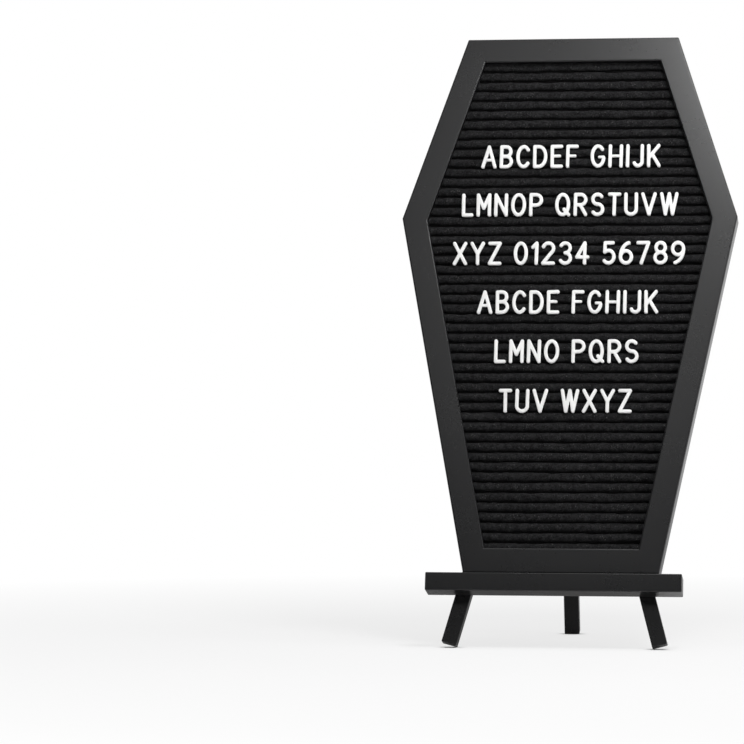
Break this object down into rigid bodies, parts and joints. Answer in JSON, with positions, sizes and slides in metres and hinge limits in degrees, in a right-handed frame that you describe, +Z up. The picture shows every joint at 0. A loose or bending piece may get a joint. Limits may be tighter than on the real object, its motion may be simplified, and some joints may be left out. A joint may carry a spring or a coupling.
{
  "type": "felt letter board on a folding stand",
  "caption": "Coffin-shaped black wooden frame round a ridged felt panel with push-in white characters, leaning on a small folding easel stand with a ledge.",
  "frame": {"origin": "on the surface that the stand's feet are on, under the middle of the whole object's box", "axes": "+Z up, the board faces -Y and leans back towards +Y, X across the board"},
  "size_m": [0.2624, 0.1794, 0.4749],
  "materials": {
    "black_paint": "satin black painted wood",
    "black_felt": "matt black felt on a ridged insert",
    "white_plastic": "satin moulded plastic",
    "fibreboard": "raw brown fibreboard",
    "plated_steel": "zinc plated steel"
  },
  "bodies": {
    "board_and_stand": {"top_rail": "black_paint", "upper_left_rail": "black_paint", "upper_right_rail": "black_paint", "lower_left_rail": "black_paint", "lower_right_rail": "black_paint", "bottom_rail": "black_paint", "felt_panel": "black_felt", "backing_board": "fibreboard", "front_leg_left": "black_paint", "front_leg_right": "black_paint", "ledge": "black_paint", "hinge_leaf_front": "plated_steel", "hinge_pin": "plated_steel", "front_leaf_screw_left": "plated_steel", "front_leaf_screw_right": "plated_steel", "ledge_screw_left": "plated_steel", "ledge_screw_right": "plated_steel", "sawtooth_hanger": "plated_steel", "hanger_nail_left": "plated_steel", "hanger_nail_right": "plated_steel", "letter_A": "white_plastic", "letter_B": "white_plastic", "letter_C": "white_plastic", "letter_D": "white_plastic", "letter_E": "white_plastic", "letter_F": "white_plastic", "letter_G": "white_plastic", "letter_H": "white_plastic", "letter_I": "white_plastic", "letter_J": "white_plastic", "letter_K": "white_plastic", "letter_L": "white_plastic", "letter_M": "white_plastic", "letter_N": "white_plastic", "letter_O": "white_plastic", "letter_P": "white_plastic", "letter_Q": "white_plastic", "letter_R": "white_plastic", "letter_S": "white_plastic", "letter_T": "white_plastic", "letter_U": "white_plastic", "letter_V": "white_plastic", "letter_W": "white_plastic", "letter_X": "white_plastic", "letter_Y": "white_plastic", "letter_Z": "white_plastic", "digit_0": "white_plastic", "digit_1": "white_plastic", "digit_2": "white_plastic", "digit_3": "white_plastic", "digit_4": "white_plastic", "digit_5": "white_plastic", "digit_6": "white_plastic", "digit_7": "white_plastic", "digit_8": "white_plastic", "digit_9": "white_plastic"},
    "folding_leg": {"rear_leg": "black_paint", "hinge_leaf_rear": "plated_steel", "rear_leaf_screw_upper": "plated_steel", "rear_leaf_screw_lower": "plated_steel"}
  },
  "joints": [
    {"name": "rear_leg_fold", "type": "hinge", "parent": "board_and_stand", "child": "folding_leg", "pos_m": [-0.0055, 0.00497, 0.2732], "axis": [1, 0, 0], "range_deg": [-33.3, 0]}
  ]
}
